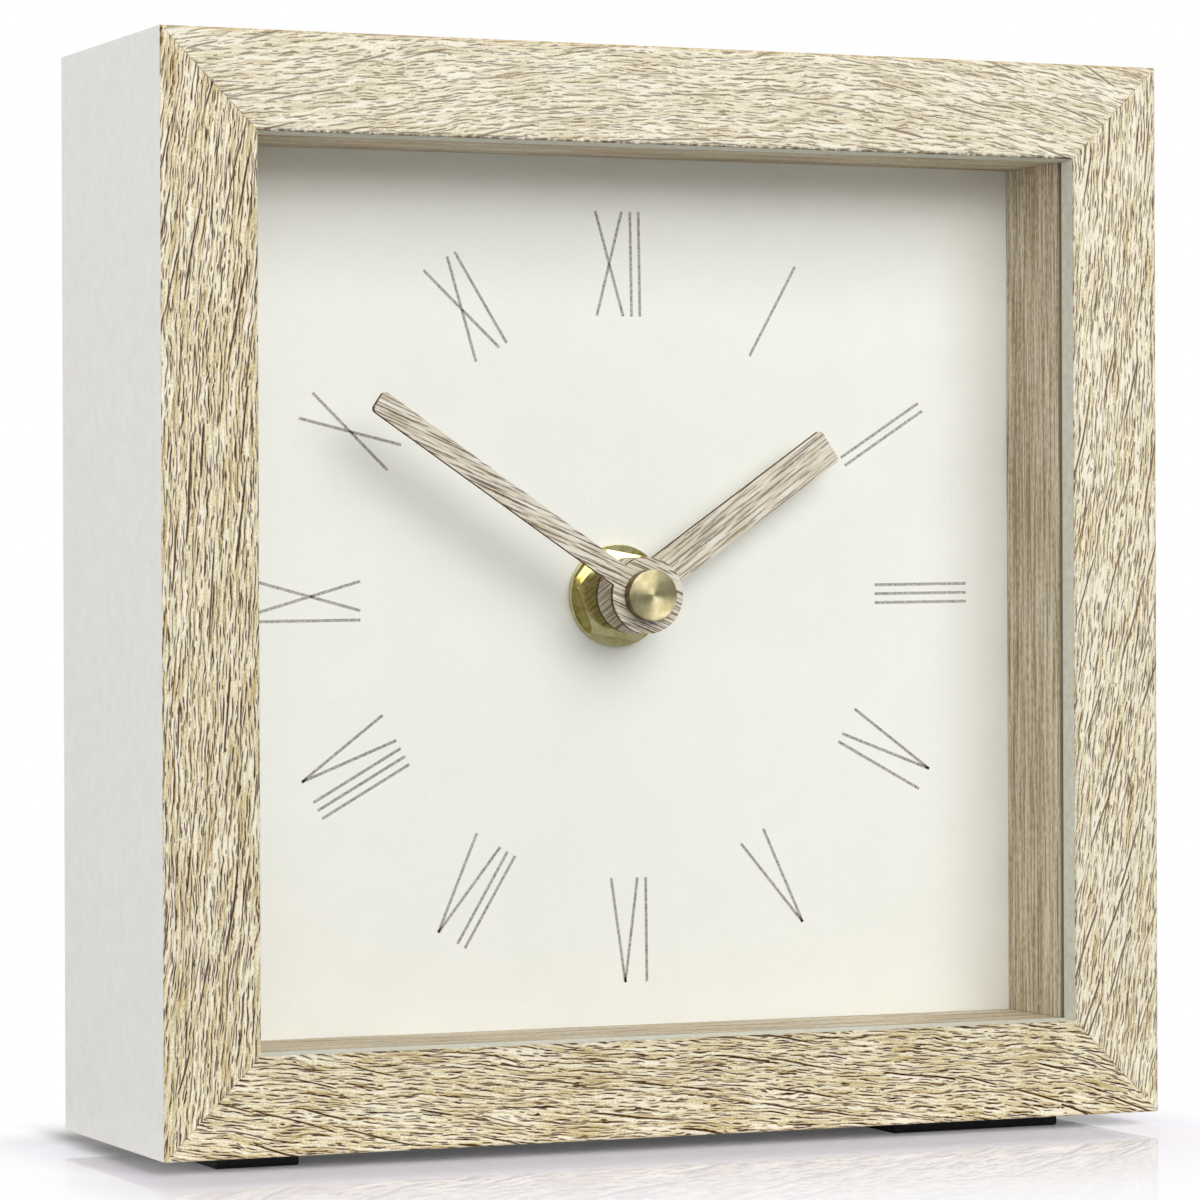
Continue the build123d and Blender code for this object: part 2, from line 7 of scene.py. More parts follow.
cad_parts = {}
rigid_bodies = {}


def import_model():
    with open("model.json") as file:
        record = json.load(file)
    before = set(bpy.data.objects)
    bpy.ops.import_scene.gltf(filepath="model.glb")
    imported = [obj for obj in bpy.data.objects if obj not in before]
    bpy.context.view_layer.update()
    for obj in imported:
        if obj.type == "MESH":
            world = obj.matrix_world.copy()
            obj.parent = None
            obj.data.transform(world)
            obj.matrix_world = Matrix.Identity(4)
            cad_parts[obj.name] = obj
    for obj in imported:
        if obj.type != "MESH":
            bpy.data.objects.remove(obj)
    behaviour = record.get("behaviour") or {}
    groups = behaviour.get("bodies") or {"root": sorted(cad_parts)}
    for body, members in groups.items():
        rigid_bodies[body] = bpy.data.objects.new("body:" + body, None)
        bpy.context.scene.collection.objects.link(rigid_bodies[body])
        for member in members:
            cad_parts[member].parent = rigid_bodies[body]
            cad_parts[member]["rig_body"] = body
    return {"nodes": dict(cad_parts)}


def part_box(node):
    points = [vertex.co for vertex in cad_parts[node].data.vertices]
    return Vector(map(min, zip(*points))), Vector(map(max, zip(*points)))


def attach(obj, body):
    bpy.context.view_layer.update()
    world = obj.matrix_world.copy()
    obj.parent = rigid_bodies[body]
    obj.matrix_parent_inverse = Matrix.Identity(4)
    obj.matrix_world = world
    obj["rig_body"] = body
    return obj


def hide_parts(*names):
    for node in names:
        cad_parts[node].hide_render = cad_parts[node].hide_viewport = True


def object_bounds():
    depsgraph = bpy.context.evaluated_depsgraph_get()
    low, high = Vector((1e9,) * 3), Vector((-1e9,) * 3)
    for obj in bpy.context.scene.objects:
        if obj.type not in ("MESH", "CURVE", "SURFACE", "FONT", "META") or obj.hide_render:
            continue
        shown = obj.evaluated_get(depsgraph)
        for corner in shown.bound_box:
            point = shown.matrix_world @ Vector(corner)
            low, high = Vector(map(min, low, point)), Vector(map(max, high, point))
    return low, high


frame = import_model()
cad_low, cad_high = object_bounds()


# Case rails
# Four mitred lengths of fibre board moulding: limed oak foil on the front, pale paint on the outer sides.
# Each is a copy of its CAD rail with the edges eased, so that the glued mitres show as fine grooves.
def add_node(tree, kind, inputs=(), **settings):
    """A shader node with its settings, and each input either linked to a socket or set to a value."""
    node = tree.nodes.new("ShaderNode" + kind)
    for key, value in settings.items():
        setattr(node, key, value)
    for key, value in dict(inputs).items():
        if isinstance(value, bpy.types.NodeSocket):
            tree.links.new(value, node.inputs[key])
        else:
            node.inputs[key].default_value = value
    return node


def calc(tree, operation, *values, clamp=False):
    """One step of arithmetic on sockets and numbers."""
    return add_node(tree, "Math", enumerate(values), operation=operation, use_clamp=clamp).outputs[0]


def weigh(tree, level, *patterns):
    """Patterns added to a level, each by its own weight."""
    for pattern, weight in patterns:
        level = calc(tree, "MULTIPLY_ADD", pattern, weight, level)
    return level


def paint(code):
    """A colour written as it shows on a screen, as the linear colour that a shader takes."""
    parts = [int(code[i:i + 2], 16) / 255 for i in (0, 2, 4)]
    return [p / 12.92 if p < 0.04045 else ((p + 0.055) / 1.055) ** 2.4 for p in parts] + [1.0]


def blend(tree, amount, first, second):
    """One colour over another."""
    sockets = {0: amount, 6: first, 7: second}
    return add_node(tree, "Mix", sockets, data_type="RGBA").outputs[2]


def ramp(tree, value, *stops):
    """Colours laid along a value, each with its place."""
    node = add_node(tree, "ValToRGB", {0: value})
    steps = node.color_ramp.elements
    for _ in stops[2:]:
        steps.new(0.5)
    for step, (place, code) in zip(steps, stops):
        step.position = place
        step.color = paint(code)
    return node.outputs[0]


def noise(tree, along, across, long, wide, detail=2.0):
    """Cloudy pattern whose patches are about as long and as wide as given, in millimetres."""
    scaled = {0: calc(tree, "DIVIDE", along, long), 1: calc(tree, "DIVIDE", across, wide)}
    spot = add_node(tree, "CombineXYZ", scaled)
    sockets = {"Vector": spot.outputs[0], "Scale": 1.0, "Detail": detail, "Roughness": 0.55}
    return add_node(tree, "TexNoise", sockets, noise_dimensions="2D").outputs[0]


def dashes(tree, along, across, cell, size, spread, beads=1.0, blunt=4.0):
    """Tapering marks along the grain, one in each cell, each with its own length, width and lean.

    The cell and the size, half length and half width, are in millimetres. Returns the marks, a painted
    highlight on the lit side of each, and the soft stained halo round them, all from 0 to 1.
    """
    # The least mark as a share of the largest, then millimetres: soft edges, shift of the painted highlights
    least = 0.3
    sharp_edge = 0.07
    stain_edge = 0.4
    highlight_shift = 2.2 * size[1]
    scaled = {0: calc(tree, "DIVIDE", along, cell[0]), 1: calc(tree, "DIVIDE", across, cell[1])}
    spot = add_node(tree, "CombineXYZ", scaled).outputs[0]
    cells = add_node(tree, "TexVoronoi", {"Vector": spot, "Scale": 1.0}, voronoi_dimensions="2D")
    away = add_node(tree, "VectorMath", {0: spot, 1: cells.outputs["Position"]}, operation="SUBTRACT")
    part = add_node(tree, "SeparateXYZ", {0: away.outputs[0]}).outputs
    chance = add_node(tree, "SeparateColor", {0: cells.outputs["Color"]}).outputs
    far = calc(tree, "MULTIPLY", part[0], cell[0])
    slope = weigh(tree, -spread, (chance[0], 2 * spread))
    off = calc(tree, "MULTIPLY", part[1], cell[1])
    off = calc(tree, "SUBTRACT", off, calc(tree, "MULTIPLY", far, slope))
    reach = weigh(tree, least * size[0], (chance[1], (1 - least) * size[0]))
    ends = calc(tree, "POWER", calc(tree, "ABSOLUTE", calc(tree, "DIVIDE", far, reach)), blunt)
    taper = calc(tree, "MULTIPLY", calc(tree, "SUBTRACT", 1.0, ends), beads)
    widest = weigh(tree, least * size[1], (chance[2], (1 - least) * size[1]))
    width = calc(tree, "MULTIPLY", taper, widest)
    masks = []
    for shift, soft in ((0.0, sharp_edge), (highlight_shift, sharp_edge), (0.0, stain_edge)):
        near = calc(tree, "SUBTRACT", width, calc(tree, "ABSOLUTE", calc(tree, "ADD", off, shift)))
        masks.append(calc(tree, "MULTIPLY_ADD", near, 1 / soft, 0.5, clamp=True))
    return masks


def new_finish(name, metal=0.0, specular=0.5):
    """A new material with its node tree, its shader and the place on the piece in millimetres."""
    finish = bpy.data.materials.new(name)
    finish.use_nodes = True
    tree = finish.node_tree
    shader = tree.nodes["Principled BSDF"]
    shader.inputs["Metallic"].default_value = metal
    shader.inputs["Specular IOR Level"].default_value = specular
    spot = add_node(tree, "TexCoord").outputs["Object"]
    place = add_node(tree, "VectorMath", {0: spot, "Scale": 1000.0}, operation="SCALE").outputs[0]
    return finish, tree, shader, place


def wear(tree, shader, colour, rough, height, depth):
    """Links a colour, a roughness and a height, up to a depth in millimetres, to the shader."""
    tree.links.new(colour, shader.inputs["Base Color"])
    tree.links.new(rough, shader.inputs["Roughness"])
    bump = add_node(tree, "Bump", {"Height": height, "Distance": depth / 1000, "Strength": 1.0})
    tree.links.new(bump.outputs[0], shader.inputs["Normal"])


def plain(name, low, high, grain, rough, metal=0.0, depth=0.01, stretch=(1.0, 1.0, 1.0), specular=0.5):
    """An even surface: a cloudy mix of two colours, a little uneven in gloss and height."""
    gloss_range = 0.12
    finish, tree, shader, place = new_finish(name, metal, specular)
    spot = add_node(tree, "VectorMath", {0: place, 1: [s / grain for s in stretch]}, operation="MULTIPLY")
    sockets = {"Vector": spot.outputs[0], "Scale": 1.0, "Detail": 3.0, "Roughness": 0.6}
    cloud = add_node(tree, "TexNoise", sockets).outputs[0]
    spread = {"Value": cloud, "From Min": 0.3, "From Max": 0.7}
    tone = add_node(tree, "MapRange", spread).outputs[0]
    gloss = weigh(tree, rough - gloss_range / 2, (tone, gloss_range))
    wear(tree, shader, blend(tree, tone, paint(low), paint(high)), gloss, cloud, depth)
    return finish


def limed_oak(name, box, inward, leans, start, sway, dash, tone, strength, edge, lime, pale, dark):
    """Foil printed and embossed as limed oak, its grain along a rail.

    The leans of the long pores at the low end, the middle and the high end bend the grain on the way.
    Lengths are in millimetres: the rail's box, the place on the print and the grain's sway.
    """
    finish, tree, shader, place = new_finish(name, specular=0.06)
    axes = add_node(tree, "SeparateXYZ", {0: place}).outputs
    face_wide = 13.5
    across = 2 if inward.z else 0
    along = 2 - across
    outer = box[0][across] if inward[across] > 0 else box[1][across]
    sight = outer + face_wide * inward[across]
    centre = (box[0][along] + box[1][along]) / 2
    half_long = (box[1][along] - box[0][along]) / 2
    low, middle, high = leans
    way = calc(tree, "DIVIDE", calc(tree, "SUBTRACT", axes[along], centre), half_long)
    bend_rate = half_long / 3 * ((low + high) / 2 - middle)
    bend = weigh(tree, half_long * (high - low) / 4, (way, bend_rate))
    flow = calc(tree, "MULTIPLY", weigh(tree, half_long * middle, (way, bend)), way)
    run = calc(tree, "ADD", axes[along], start)
    side = calc(tree, "ADD", axes[across], start)
    side = weigh(tree, side, (noise(tree, run, side, long=30, wide=12), sway))
    ripple = noise(tree, run, side, long=4, wide=2.5)
    eased = weigh(tree, side, (flow, -0.4), (ripple, 0.55))
    leant = calc(tree, "SUBTRACT", side, flow)
    blotch = noise(tree, run, eased, long=13, wide=3.2)
    streak = noise(tree, run, eased, long=10, wide=0.38)
    grit = noise(tree, run, eased, long=0.36, wide=0.2, detail=3.0)
    limed = noise(tree, run, side, long=5, wide=11)
    limed = calc(tree, "MULTIPLY", calc(tree, "MULTIPLY_ADD", limed, 5.0, -2.9, clamp=True), lime)
    mean = weigh(tree, tone - 0.285, (blotch, 0.3), (streak, 0.75), (grit, 0.5), (limed, 0.08))
    colour = ramp(tree, mean, (0.36, "bfac7e"), (0.46, "d4c69d"), (0.55, "e3d9b8"), (0.66, "f4eeda"))
    beads = weigh(tree, 0.2, (noise(tree, run, side, long=1.1, wide=0.5, detail=1.0), 1.5))
    broken = weigh(tree, 0.6, (beads, 0.4))
    short_pores = dict(cell=(2.7 * dash, 0.66), size=(1.3 * dash, 0.088), spread=0.05, beads=beads)
    fine_pores = dict(cell=(2.1, 0.76), size=(0.85, 0.08), spread=0.08)
    long_pores = dict(cell=(6.0, 1.9), size=(2.9, 0.11), spread=0.06, beads=beads)
    cracks = dict(cell=(15.0, 3.8), size=(7.5, 0.14), spread=0.05, beads=broken, blunt=8.0)
    later = calc(tree, "ADD", run, 41.0)
    last = calc(tree, "ADD", run, 83.0)
    layers = (
        dashes(tree, run, eased, **short_pores),
        dashes(tree, later, eased, **fine_pores),
        dashes(tree, last, eased, **long_pores),
    )
    split = [calc(tree, "MULTIPLY", mask, strength) for mask in dashes(tree, later, leant, **cracks)]
    kept = weigh(tree, strength, (limed, -0.6 * strength))
    marks = []
    for kind in zip(*layers):
        most = kind[0]
        for mask in kind[1:]:
            most = calc(tree, "MAXIMUM", most, mask)
        marks.append(calc(tree, "MULTIPLY", most, kept))
    pores, painted_highlights, stains = [calc(tree, "MAXIMUM", *pair) for pair in zip(marks, split)]
    # The pale share paints a sheen of the light from above over the print; only the top rail has it
    colour = blend(tree, pale, colour, paint("efece2"))
    # The flecks beside the pores are painted highlights, on the side that light from above would catch
    for mask, share, code in ((stains, 0.7, "96681e"), (painted_highlights, 0.7, "f6f1e3"), (pores, 1.0, dark)):
        colour = blend(tree, calc(tree, "MULTIPLY", mask, share), colour, paint(code))
    line_break = noise(tree, run, side, long=0.9, wide=2.0)
    line_break = calc(tree, "MULTIPLY_ADD", line_break, 3.0, -0.8, clamp=True)
    # A dark line along the sight edge and an ochre line along the outer edge, broken up by noise
    for line, wide, code, share in ((sight, 0.55, "3f2c10", edge), (outer, 0.5, "b89a50", 0.8 * edge)):
        off = calc(tree, "ABSOLUTE", calc(tree, "SUBTRACT", axes[across], line))
        near = calc(tree, "MULTIPLY_ADD", off, -1 / wide, 1.0, clamp=True)
        near = calc(tree, "MULTIPLY", calc(tree, "MULTIPLY", near, line_break), share)
        colour = blend(tree, near, colour, paint(code))
    gloss = weigh(tree, 0.55, (pores, 0.25))
    height = calc(tree, "SUBTRACT", calc(tree, "MULTIPLY", streak, 0.3), pores)
    wear(tree, shader, colour, gloss, height, depth=0.08)
    return finish


def select_only(piece):
    """Makes one piece the only selected and active one."""
    bpy.ops.object.select_all(action="DESELECT")
    piece.select_set(True)
    bpy.context.view_layer.objects.active = piece


def ease_edges(piece, width, segments, sharp, harden=False):
    """Rounds the active piece's edges that turn by more than an angle; the width is in millimetres."""
    ease = piece.modifiers.new("eased edges", "BEVEL")
    ease.width = width / 1000
    ease.segments = segments
    ease.limit_method = "ANGLE"
    ease.angle_limit = sharp
    ease.harden_normals = harden
    bpy.ops.object.modifier_apply(modifier=ease.name)


def eased_copy(node, finishes, width, segments=2):
    """A copy of a CAD piece with its sharp edges rounded; it takes the place of the CAD piece."""
    sharp = radians(30)
    source = frame["nodes"][node]
    piece = bpy.data.objects.new(node + "_finished", source.data.copy())
    bpy.context.scene.collection.objects.link(piece)
    piece.data.materials.clear()
    select_only(piece)
    bpy.ops.object.mode_set(mode="EDIT")
    bpy.ops.mesh.select_all(action="SELECT")
    bpy.ops.mesh.customdata_custom_splitnormals_clear()
    bpy.ops.mesh.remove_doubles(threshold=0.000001)
    bpy.ops.mesh.dissolve_limited(angle_limit=radians(0.5))
    bpy.ops.object.mode_set(mode="OBJECT")
    bpy.ops.object.shade_smooth_by_angle(angle=sharp)
    ease_edges(piece, width, segments, sharp, harden=True)
    for finish in finishes:
        piece.data.materials.append(finish)
    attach(piece, source["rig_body"])
    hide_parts(node)
    return piece


side_paint = plain("side_paint", "e6e4e0", "ecebe7", grain=2.0, rough=0.6, depth=0.015, specular=0.25)
lip_paint = plain("lip_paint", "c6c4b4", "d8d6c8", grain=1.2, rough=0.55, depth=0.02)
raw_board = plain("raw_board", "a98c66", "c2a880", grain=0.5, rough=0.85, depth=0.04, specular=0.2)
# Name, way to the middle of the case, run of the foil's grain and look of its print
# The top rail's pale share is a painted sheen of the light from above
rail_cuts = (
    (
        "rail_top",
        Vector((0, 0, -1)),
        dict(leans=(0.28, 0.05, -0.55), start=0.0, sway=2.5, dash=1.2),
        dict(tone=0.06, strength=0.57, edge=1.0, lime=0.2, pale=0.3, dark="472a08"),
    ),
    (
        "rail_bottom",
        Vector((0, 0, 1)),
        dict(leans=(-0.4, -0.15, -0.38), start=230.0, sway=3.0, dash=1.3),
        dict(tone=0.02, strength=1.0, edge=0.2, lime=0.6, pale=0.0, dark="472a08"),
    ),
    (
        "rail_left",
        Vector((1, 0, 0)),
        dict(leans=(0.32, 0.08, 0.36), start=470.0, sway=2.0, dash=1.5),
        dict(tone=0.04, strength=0.93, edge=0.2, lime=0.3, pale=0.0, dark="472a08"),
    ),
    (
        "rail_right",
        Vector((-1, 0, 0)),
        dict(leans=(0.36, 0.3, 0.05), start=690.0, sway=1.5, dash=1.4),
        dict(tone=0.11, strength=0.84, edge=0.3, lime=1.0, pale=0.0, dark="604315"),
    ),
)
lip_back = -0.019
for node, inward, grain, look in rail_cuts:
    box = [corner * 1000 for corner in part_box(node)]
    foil = limed_oak(node + "_foil", box, inward, **grain, **look)
    finishes = (side_paint, foil, lip_paint, raw_board)
    rail = eased_copy(node, finishes, width=0.12)
    for face in rail.data.polygons:
        facing_in = face.normal.dot(inward)
        if face.normal.y < -0.25:
            face.material_index = finishes.index(foil)
        elif facing_in > 0.5 and face.center.y < lip_back:
            face.material_index = finishes.index(lip_paint)
        elif facing_in > -0.5:
            face.material_index = finishes.index(raw_board)


# Inner slips
# Four strips of bare, straight-grained grey wood behind the lip, which set the dial back from the front.
# Copies of the CAD slips with eased edges; the grain runs along each slip.
def slip_wood(name, along, start):
    """Straight fine grain along one axis, with its lines spread over the depth of the slip."""
    finish, tree, shader, place = new_finish(name, specular=0.25)
    axes = add_node(tree, "SeparateXYZ", {0: place}).outputs
    run = calc(tree, "ADD", axes[along], start)
    side = calc(tree, "ADD", axes[1], start)
    band = noise(tree, run, side, long=90, wide=4.5)
    line = noise(tree, run, side, long=20, wide=0.7, detail=3.0)
    grit = noise(tree, run, side, long=1.2, wide=0.5)
    mean = weigh(tree, -0.3, (band, 0.35), (line, 0.8), (grit, 0.45))
    colour = ramp(tree, mean, (0.34, "9e8c70"), (0.46, "bcad92"), (0.56, "cdc1a9"), (0.7, "ddd5c3"))
    pores, painted_highlights, _ = dashes(tree, run, side, cell=(17.0, 1.0), size=(8.5, 0.2), spread=0.004)
    # A painted shade on the slip just behind the lip, where the lip overhangs it
    by_lip = {"Value": axes[1], "From Min": -18.4, "From Max": -17.6, "To Min": 0.9, "To Max": 0.0}
    stain_and_shade = add_node(tree, "MapRange", by_lip).outputs[0]
    # The flecks beside the pores are painted highlights
    for mask, share, code in ((painted_highlights, 0.4, "e4ddcc"), (pores, 0.5, "7a6750"), (stain_and_shade, 1.0, "57503f")):
        colour = blend(tree, calc(tree, "MULTIPLY", mask, share), colour, paint(code))
    gloss = weigh(tree, 0.8, (line, -0.2))
    wear(tree, shader, colour, gloss, line, depth=0.04)
    return finish


# Name, axis along and place on the plank in millimetres
slip_cuts = (
    ("slip_top", 0, 11.0),
    ("slip_bottom", 0, 57.0),
    ("slip_left", 2, 93.0),
    ("slip_right", 2, 139.0),
)
for node, along, start in slip_cuts:
    eased_copy(node, [slip_wood(node + "_wood", along, start)], width=0.15)


# Dial paper and numerals
# Ivory card with a faint linen surface, glued to the board; the CAD card itself, with a finish of its own.
# The numerals are thin bars of grey ink laid on it, one bar for each stroke, joined into one piece.
def linen_card(name):
    """Pale card with a faint weave and soft clouds."""
    finish, tree, shader, place = new_finish(name, specular=0.2)
    axes = add_node(tree, "SeparateXYZ", {0: place}).outputs
    cloud = noise(tree, axes[0], axes[2], long=9, wide=9, detail=3.0)
    weft = noise(tree, axes[0], axes[2], long=2.4, wide=0.22)
    warp = noise(tree, axes[0], axes[2], long=0.22, wide=2.4)
    weave = calc(tree, "ADD", weft, warp)
    mean = weigh(tree, -0.1, (cloud, 0.5), (weave, 0.35))
    colour = ramp(tree, mean, (0.2, "f0f1ea"), (0.8, "f5f6f0"))
    gloss = weigh(tree, 0.6, (weave, 0.1))
    wear(tree, shader, colour, gloss, weave, depth=0.012)
    return finish


def printed_ink(name):
    """Dry grey ink with darker and paler patches."""
    finish, tree, shader, place = new_finish(name, specular=0.2)
    axes = add_node(tree, "SeparateXYZ", {0: place}).outputs
    speck = noise(tree, axes[0], axes[2], long=0.4, wide=0.4, detail=3.0)
    press = noise(tree, axes[0], axes[2], long=22, wide=22, detail=1.0)
    patch = weigh(tree, -0.1, (speck, 1.0), (press, 0.2))
    colour = ramp(tree, patch, (0.3, "83817e"), (0.5, "aaa8a4"), (0.7, "c2c0ba"))
    gloss = weigh(tree, 0.6, (patch, 0.2))
    wear(tree, shader, colour, gloss, patch, depth=0.01)
    return finish


def dress(finish, *nodes):
    """Gives a finish to CAD pieces that show as they are."""
    for node in nodes:
        frame["nodes"][node].material_slots[0].material = finish


dress(linen_card("linen_card"), "dial_paper")
ring_middle = Vector((0.0, -0.00198, 0.07626))
ring_radius = 0.0471
half_tall = 0.0074
half_wide = 0.00203
stroke_wide = 0.00041
ink_thick = 0.00004
# Hour, numeral, shift along the reading direction in millimetres and lean in degrees
dial_numerals = (
    (1, "I", -0.1, -0.7),
    (2, "II", 0.2, -2.6),
    (3, "III", -0.4, -0.6),
    (4, "IV", 1.6, 1.5),
    (5, "V", 0.5, 2.5),
    (6, "VI", 0.7, 0.5),
    (7, "VII", 0.2, -0.9),
    (8, "VIII", -0.3, -0.6),
    (9, "IX", -0.4, -0.6),
    (10, "X", -0.6, -1.5),
    (11, "XI", -0.4, -1.8),
    (12, "XII", -0.7, -0.8),
)
letter_strokes = {"I": ((0, 0),), "V": ((-1, 0), (1, 0)), "X": ((-1, 1), (1, -1))}
half_widths = {"I": 0.0, "V": half_wide, "X": half_wide}
letter_gap = 0.00129
bars = []
for hour, numeral, shift, lean in dial_numerals:
    out = Vector((sin(radians(30 * hour)), 0, cos(radians(30 * hour))))
    # The low numerals have their tops towards the middle
    flip = -1 if 4 <= hour <= 8 else 1
    upright = flip * out
    reading = Vector((upright.z, 0, -upright.x))
    slant = flip * tan(radians(lean))
    total = 2 * sum(half_widths[letter] for letter in numeral) + letter_gap * (len(numeral) - 1)
    place = shift / 1000 - total / 2
    for letter in numeral:
        place += half_widths[letter]
        for top, foot in letter_strokes[letter]:
            ends = []
            for share, height in ((top, half_tall), (foot, -half_tall)):
                across = place + share * half_wide + height * slant
                ends.append(ring_middle + out * ring_radius + reading * across + upright * height)
            way = ends[0] - ends[1]
            bpy.ops.mesh.primitive_plane_add(
                size=1, location=(ends[0] + ends[1]) / 2, rotation=(pi / 2, atan2(way.x, way.z), 0)
            )
            bar = bpy.context.object
            bar.scale = (stroke_wide, way.length, 1)
            bars.append(bar)
        place += half_widths[letter] + letter_gap
select_only(bars[0])
for bar in bars:
    bar.select_set(True)
bpy.ops.object.join()
bpy.ops.object.transform_apply(location=True, rotation=True, scale=True)
bpy.ops.object.mode_set(mode="EDIT")
bpy.ops.mesh.select_all(action="SELECT")
bpy.ops.mesh.extrude_region_move(TRANSFORM_OT_translate={"value": (0, -ink_thick, 0)})
bpy.ops.mesh.select_all(action="SELECT")
bpy.ops.mesh.normals_make_consistent(inside=False)
bpy.ops.object.mode_set(mode="OBJECT")
ink = bpy.context.object
ink.name = "dial_numerals"
ink.data.materials.append(printed_ink("printed_ink"))
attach(ink, "case")


# Dial board, board points and corner wedges
# Bare fibre board held against the slips by flat steel points; steel wedges across the mitres at the back.
# The board is the CAD piece with a finish; the points and wedges are eased copies.
dial_fibre = plain("dial_fibre_board", "8d6f4b", "a98a62", grain=0.6, rough=0.8, depth=0.03, specular=0.2)
dress(dial_fibre, "dial_board")
strip_steel = plain(
    "strip_steel", "8f8f8d", "b9b9b6", grain=0.8, rough=0.38, metal=1.0, stretch=(0.2, 1.0, 1.0)
)
for node in ("board_points", "corner_wedges"):
    eased_copy(node, [strip_steel], width=0.06, segments=1)


# Feet
# Black sheet rubber pads stuck under the bottom rail.
# Copies of the CAD pads with rounded edges.
sheet_rubber = plain("sheet_rubber", "1c1c1d", "2a2a2b", grain=0.5, rough=0.75, depth=0.03, specular=0.3)
for node in ("foot_front_left", "foot_front_right", "foot_rear_left", "foot_rear_right"):
    eased_copy(node, [sheet_rubber], width=0.35, segments=3)


# Movement housing
# Base with the threaded bush, rear cover with the battery bay and a rubber gasket, in black moulded plastic.
# Base and cover are eased copies; the collar, arrows, marks, field and clips are moulded on the cover.
black_plastic = plain("black_plastic", "151515", "1f1f1f", grain=0.35, rough=0.5, depth=0.02)
for node in ("movement_base", "movement_cover"):
    eased_copy(node, [black_plastic], width=0.25)
dress(sheet_rubber, "gasket")


def apply_place(piece):
    """Moves the place, turn and scale of a piece into its mesh, and leaves it selected alone."""
    select_only(piece)
    bpy.ops.object.transform_apply(location=True, rotation=True, scale=True)


def moulded(piece, name, width, segments=2):
    """Rounds the edges of a small form by a width in millimetres, smooths it and names it as a piece."""
    sharp = radians(40)
    apply_place(piece)
    ease_edges(piece, width, segments, sharp)
    bpy.ops.object.shade_smooth_by_angle(angle=sharp)
    piece.name = name
    piece.data.materials.append(black_plastic)
    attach(piece, "case")


def swept_bar(middle, radii, depths, start, sweep, steps):
    """A small rectangle swept round the Y axis through a point, a closed ring or an open arc."""
    bpy.ops.mesh.primitive_plane_add(size=1, location=(sum(radii) / 2, sum(depths) / 2, 0))
    bar = bpy.context.object
    bar.scale = (radii[1] - radii[0], depths[1] - depths[0], 1)
    apply_place(bar)
    bpy.ops.object.mode_set(mode="EDIT")
    bpy.ops.mesh.select_all(action="SELECT")
    if sweep >= 2 * pi:
        bpy.ops.mesh.delete(type="ONLY_FACE")
        bpy.ops.mesh.select_all(action="SELECT")
    bpy.ops.mesh.spin(steps=steps, angle=sweep, center=(0, 0, 0), axis=(0, 1, 0))
    bpy.ops.mesh.select_all(action="SELECT")
    bpy.ops.mesh.remove_doubles(threshold=0.000001)
    bpy.ops.mesh.normals_make_consistent(inside=False)
    bpy.ops.object.mode_set(mode="OBJECT")
    bar.rotation_euler = (0, start, 0)
    bar.location = middle
    return bar


def join_all(pieces):
    """Joins pieces into the first one."""
    for piece in pieces:
        apply_place(piece)
    for piece in pieces:
        piece.select_set(True)
    bpy.context.view_layer.objects.active = pieces[0]
    bpy.ops.object.join()
    return bpy.context.object


cover_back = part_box("movement_cover")[1].y
knob_low, knob_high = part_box("setting_knob")
knob_middle = (knob_low + knob_high) / 2
knob_middle.y = 0
sunk = 0.0002
collar_radii = (0.0072, 0.0083)
collar_high = 0.0005
collar_depths = (cover_back - sunk, cover_back + collar_high)
collar = swept_bar(knob_middle, collar_radii, collar_depths, start=0, sweep=2 * pi, steps=72)
moulded(collar, "knob_collar", width=0.2)

arrow_radius = 0.0100
arrow_radii = (0.0097, 0.0103)
arrow_high = 0.0003
arrow_sweep = 1.3
arrow_depths = (cover_back - sunk, cover_back + arrow_high)
head_radius = 0.0012
arrows = []
for start in (radians(30), radians(210)):
    arrows.append(swept_bar(knob_middle, arrow_radii, arrow_depths, start, arrow_sweep, steps=20))
    tip = Vector((cos(start), 0, -sin(start))) * arrow_radius
    bpy.ops.mesh.primitive_cylinder_add(
        vertices=3,
        radius=head_radius,
        depth=arrow_high + sunk,
        location=knob_middle + tip + Vector((0, cover_back + (arrow_high - sunk) / 2, 0)),
        rotation=(pi / 2, start, 0),
    )
    arrows.append(bpy.context.object)
moulded(join_all(arrows), "setting_arrows", width=0.06, segments=1)


def slab(middle, size):
    """A plain block, to be cut further or joined."""
    bpy.ops.mesh.primitive_cube_add(size=1, location=middle)
    bpy.context.object.scale = size
    return bpy.context.object


bay_low, bay_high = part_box("battery")
mark_long = 0.0036
mark_wide = 0.0008
mark_deep = 0.0006
mark_inset = 0.0045
mark_z = bay_high.z + 0.0040
plus_place = Vector((bay_high.x - mark_inset, cover_back, mark_z))
minus_place = Vector((bay_low.x + mark_inset, cover_back, mark_z))
marks = [
    slab(plus_place, (mark_long, mark_deep, mark_wide)),
    slab(plus_place, (mark_wide, mark_deep, mark_long)),
    slab(minus_place, (mark_long, mark_deep, mark_wide)),
]
moulded(join_all(marks), "polarity_marks", width=0.08, segments=1)

field_middle = Vector((-0.0155, cover_back, 0.0865))
field_size = (0.0180, 0.0006, 0.0210)
field_rim = 0.0007
field_sunk = 0.0002
field = slab(field_middle, field_size)
apply_place(field)
bpy.ops.object.mode_set(mode="EDIT")
bpy.ops.mesh.select_mode(type="FACE")
bpy.ops.mesh.select_all(action="DESELECT")
bpy.ops.object.mode_set(mode="OBJECT")
for face in field.data.polygons:
    face.select = face.normal.y > 0.9
bpy.ops.object.mode_set(mode="EDIT")
bpy.ops.mesh.inset(thickness=field_rim)
bpy.ops.mesh.extrude_region_move(TRANSFORM_OT_translate={"value": (0, -field_sunk, 0)})
bpy.ops.object.mode_set(mode="OBJECT")
moulded(field, "label_field", width=0.08, segments=1)

